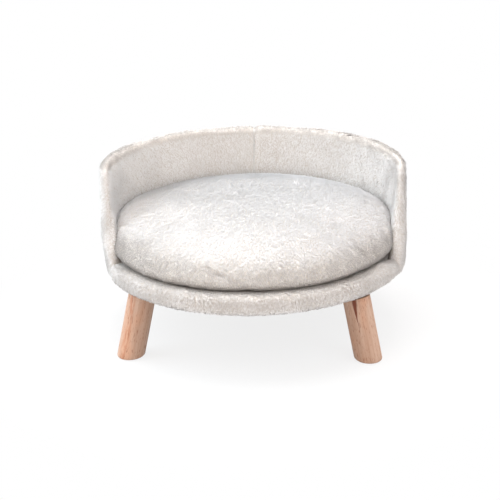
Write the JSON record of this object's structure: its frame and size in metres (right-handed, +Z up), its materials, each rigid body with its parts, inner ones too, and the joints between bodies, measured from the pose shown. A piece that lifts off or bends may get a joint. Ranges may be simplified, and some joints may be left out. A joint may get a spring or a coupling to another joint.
{
  "type": "pet sofa",
  "caption": "Round plush pet sofa with a padded back round its rear and sides, a low front lip, a loose cushion with a rear zip and splayed wooden legs.",
  "frame": {"origin": "on the floor, under the middle of the round body", "axes": "+Z up, -Y out of the open front, +X to the right seen from the front"},
  "size_m": [0.42, 0.42, 0.232],
  "materials": {
    "plush": "cream short pile plush, matt and soft",
    "cushion_plush": "cream white short pile plush, matt and soft",
    "foam": "open cell foam, matt",
    "wadding": "polyester wadding, matt",
    "dust_cloth": "spun-bonded cloth, matt",
    "zip_tape": "woven tape, matt",
    "zip_nylon": "satin",
    "zip_metal": "polished nickel",
    "leg_wood": "clear satin lacquer over pale orange tan wood with long grain",
    "plywood": "sanded and bare",
    "plate_steel": "zinc plated",
    "screw_steel": "zinc plated"
  },
  "bodies": {
    "frame": {"base_board": "plywood", "base_foam": "foam", "lip_foam": "foam", "back_panel": "plywood", "back_wadding": "wadding", "panel_screws": "screw_steel", "base_cover": "plush", "back_cover_left": "plush", "back_cover_right": "plush", "dust_cover": "dust_cloth", "staples": "screw_steel", "leg_front_left": "leg_wood", "leg_front_right": "leg_wood", "leg_rear_left": "leg_wood", "leg_rear_right": "leg_wood", "leg_plate_front_left": "plate_steel", "leg_plate_front_right": "plate_steel", "leg_plate_rear_left": "plate_steel", "leg_plate_rear_right": "plate_steel", "hanger_bolts": "screw_steel", "plate_screws": "screw_steel"},
    "cushion": {"cushion_filling": "wadding", "cushion_cover_top": "cushion_plush", "cushion_cover_bottom": "cushion_plush", "zip_tapes": "zip_tape", "zip_coils": "zip_nylon", "zip_stops": "zip_metal"},
    "zip_slider": {"zip_slider": "zip_metal"},
    "zip_pull": {"zip_pull": "zip_metal"}
  },
  "joints": [
    {"name": "cushion_lift", "type": "slide", "parent": "frame", "child": "cushion", "axis": [0, 0, 1], "range_m": [0, 0.2]},
    {"name": "zip_slide", "type": "hinge", "parent": "cushion", "child": "zip_slider", "pos_m": [0, 0, 0.12241], "axis": [0, 0, -1], "range_deg": [0, 58]},
    {"name": "zip_pull_swing", "type": "hinge", "parent": "zip_slider", "child": "zip_pull", "pos_m": [-0.08864, 0.15704, 0.12038], "axis": [-0.4435, 0.7856, 0.4314], "range_deg": [0, 6]}
  ]
}
